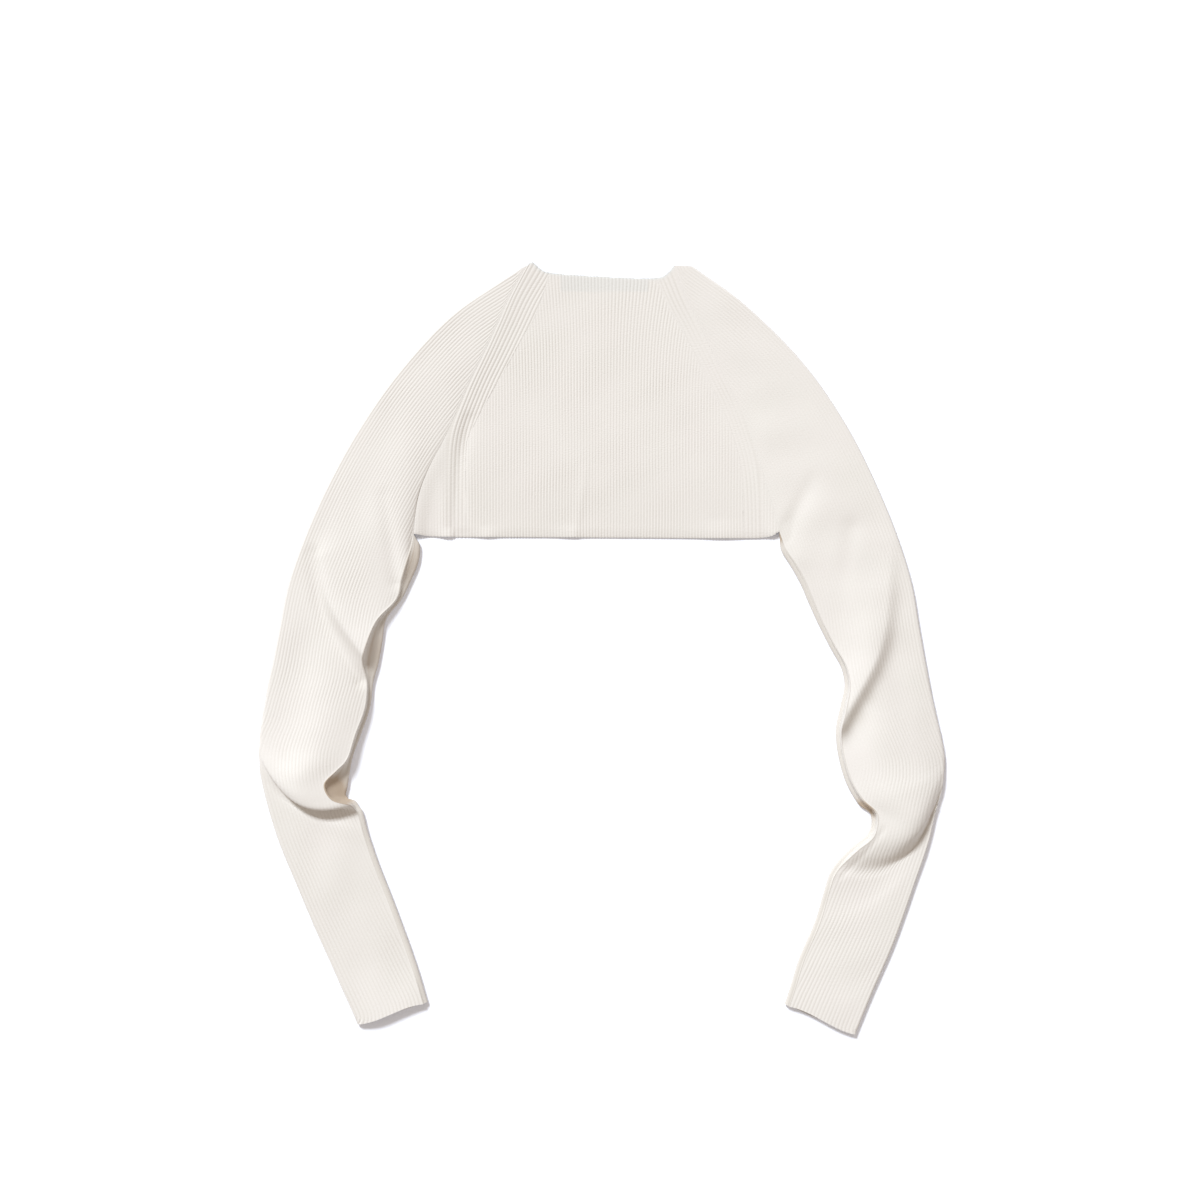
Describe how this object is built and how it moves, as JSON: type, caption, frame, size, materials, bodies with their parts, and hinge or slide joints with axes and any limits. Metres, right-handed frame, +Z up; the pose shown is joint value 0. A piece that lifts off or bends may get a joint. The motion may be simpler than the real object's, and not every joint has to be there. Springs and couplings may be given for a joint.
{
  "type": "cropped cardigan",
  "caption": "Cropped long-sleeved raglan cardigan in fine rib knit, laid flat on its fronts with the back up and the sleeves curving down.",
  "frame": {"origin": "middle of the garment's outline in plan, on the surface that it lies on", "axes": "+Z up from that surface, +Y from the cuffs towards the neck, +X towards the wearer's right"},
  "size_m": [0.6376, 0.7168, 0.0219],
  "materials": {
    "rib_knit": "matte, fine vertical ribs"
  },
  "bodies": {
    "root": {"back_panel": "rib_knit", "front_panel_left": "rib_knit", "front_panel_right": "rib_knit", "sleeve_left": "rib_knit", "sleeve_right": "rib_knit"}
  },
  "joints": []
}
